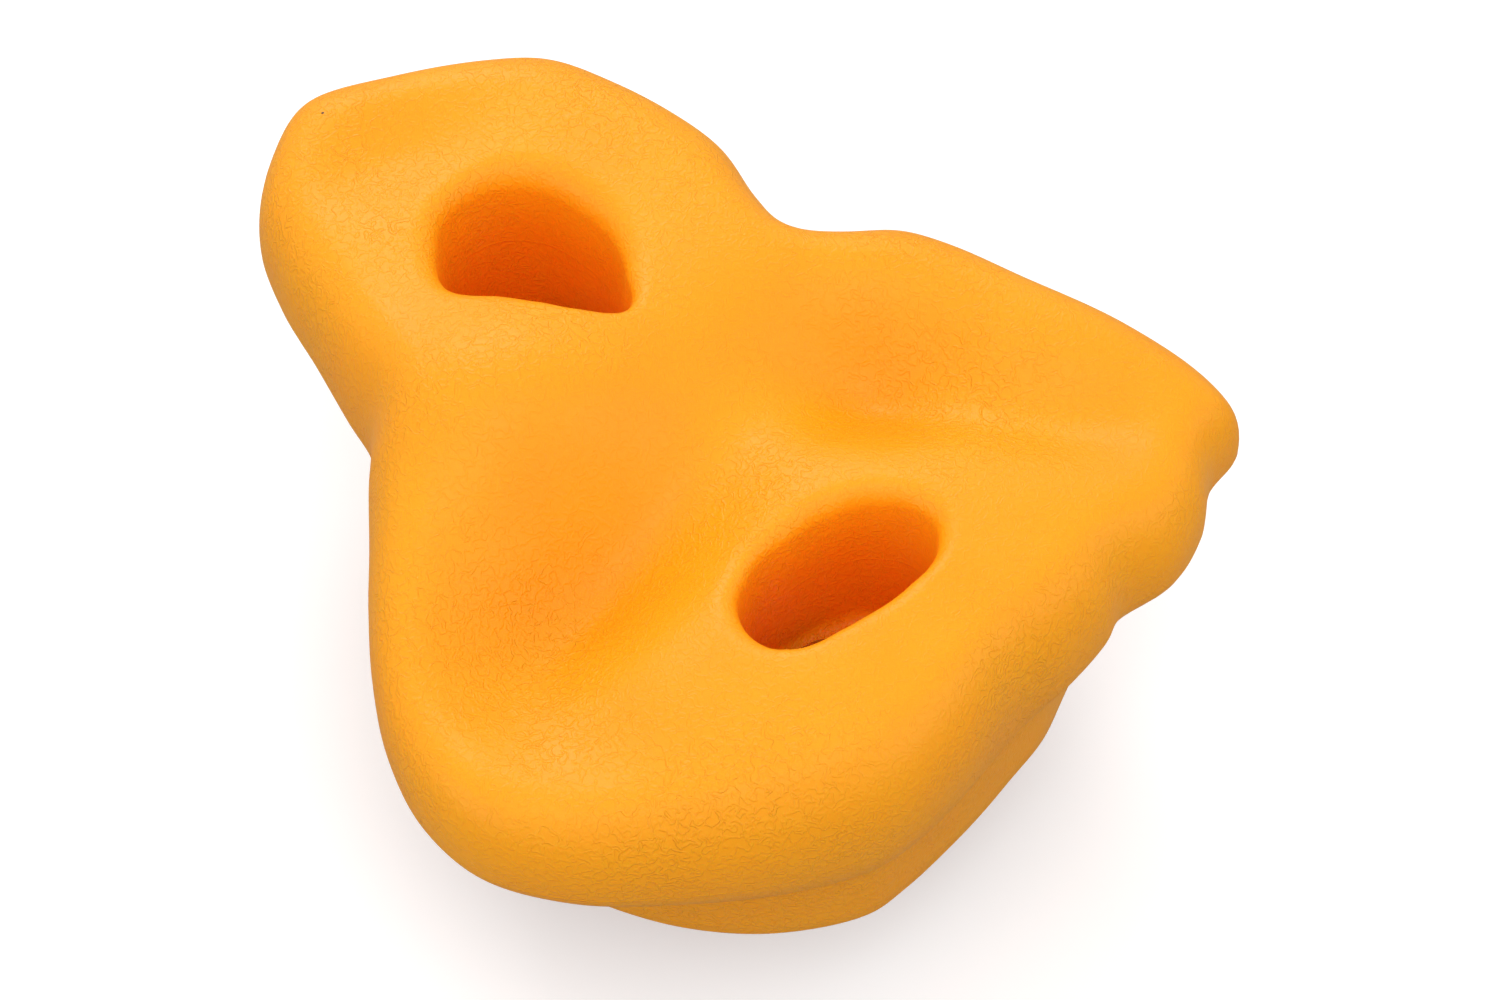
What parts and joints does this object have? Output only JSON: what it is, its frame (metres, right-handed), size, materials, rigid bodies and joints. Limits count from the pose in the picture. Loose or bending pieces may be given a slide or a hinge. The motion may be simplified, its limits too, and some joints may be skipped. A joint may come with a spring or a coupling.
{
  "type": "climbing hold",
  "caption": "Three-lobed moulded plastic climbing hold with a deep and an oval pocket, and the bolts, washers and T-nuts that fix it.",
  "frame": {"origin": "on the wall plane, midway between the two bolt axes", "axes": "+Z straight out of the wall, +X from the bolt in the deep pocket to the bolt in the oval pocket"},
  "size_m": [0.166, 0.1464, 0.0847],
  "materials": {
    "body_plastic": "satin, fine leather grain",
    "zinc_steel": "bright zinc plate"
  },
  "bodies": {
    "hold": {"hold_body": "body_plastic", "t_nut_1": "zinc_steel", "t_nut_2": "zinc_steel"},
    "washers_1": {"flat_washer_1": "zinc_steel", "spring_washer_1": "zinc_steel"},
    "bolt_1": {"bolt_1": "zinc_steel"},
    "washers_2": {"flat_washer_2": "zinc_steel", "spring_washer_2": "zinc_steel"},
    "bolt_2": {"bolt_2": "zinc_steel"}
  },
  "joints": [
    {"name": "bolt_1_lift", "type": "slide", "parent": "hold", "child": "washers_1", "axis": [0, 0, 1], "range_m": [0, 0.02]},
    {"name": "bolt_1_turn", "type": "hinge", "parent": "washers_1", "child": "bolt_1", "pos_m": [-0.038, 0, 0], "axis": [0, 0, 1], "range_deg": [0, 5760]},
    {"name": "bolt_2_lift", "type": "slide", "parent": "hold", "child": "washers_2", "axis": [0, 0, 1], "range_m": [0, 0.02]},
    {"name": "bolt_2_turn", "type": "hinge", "parent": "washers_2", "child": "bolt_2", "pos_m": [0.038, 0, 0], "axis": [0, 0, 1], "range_deg": [0, 5760]}
  ],
  "couplings": [
    {"joint": "bolt_1_turn", "follows": "bolt_1_lift", "rad_per_m": 5026.5},
    {"joint": "bolt_2_turn", "follows": "bolt_2_lift", "rad_per_m": 5026.5}
  ]
}
